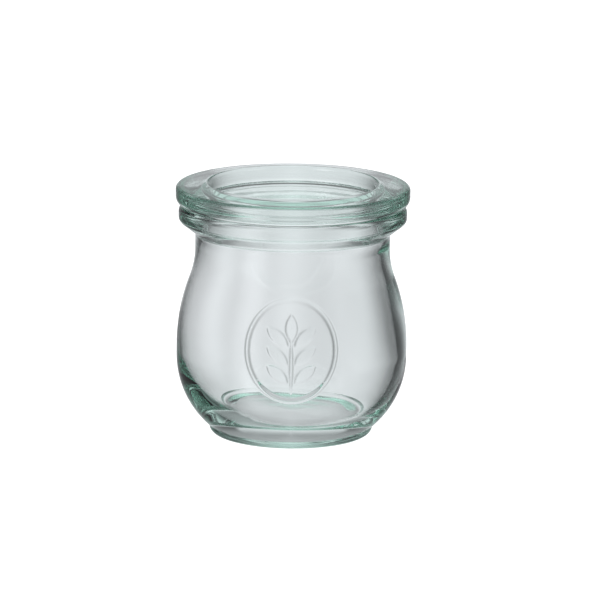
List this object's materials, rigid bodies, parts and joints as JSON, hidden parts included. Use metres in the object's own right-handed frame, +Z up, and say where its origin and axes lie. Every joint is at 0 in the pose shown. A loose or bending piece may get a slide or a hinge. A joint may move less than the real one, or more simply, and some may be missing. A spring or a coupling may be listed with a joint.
{
  "type": "glass canning jar",
  "caption": "Small tulip-shaped preserving jar of clear pressed glass, with a flanged rim and a loose glass lid whose recess takes the foot of a jar stacked on top.",
  "frame": {"origin": "centre of the ring that the jar stands on, at the standing surface", "axes": "+Z up along the jar's axis; the raised mark on the front faces -Y"},
  "size_m": [0.07, 0.07, 0.076],
  "materials": {
    "jar_glass": "clear pressed soda-lime glass, polished, with a faint green tint where thick",
    "lid_glass": "clear pressed soda-lime glass, polished, with a faint green tint where thick"
  },
  "bodies": {
    "root": {"jar": "jar_glass", "lid": "lid_glass"}
  },
  "joints": []
}
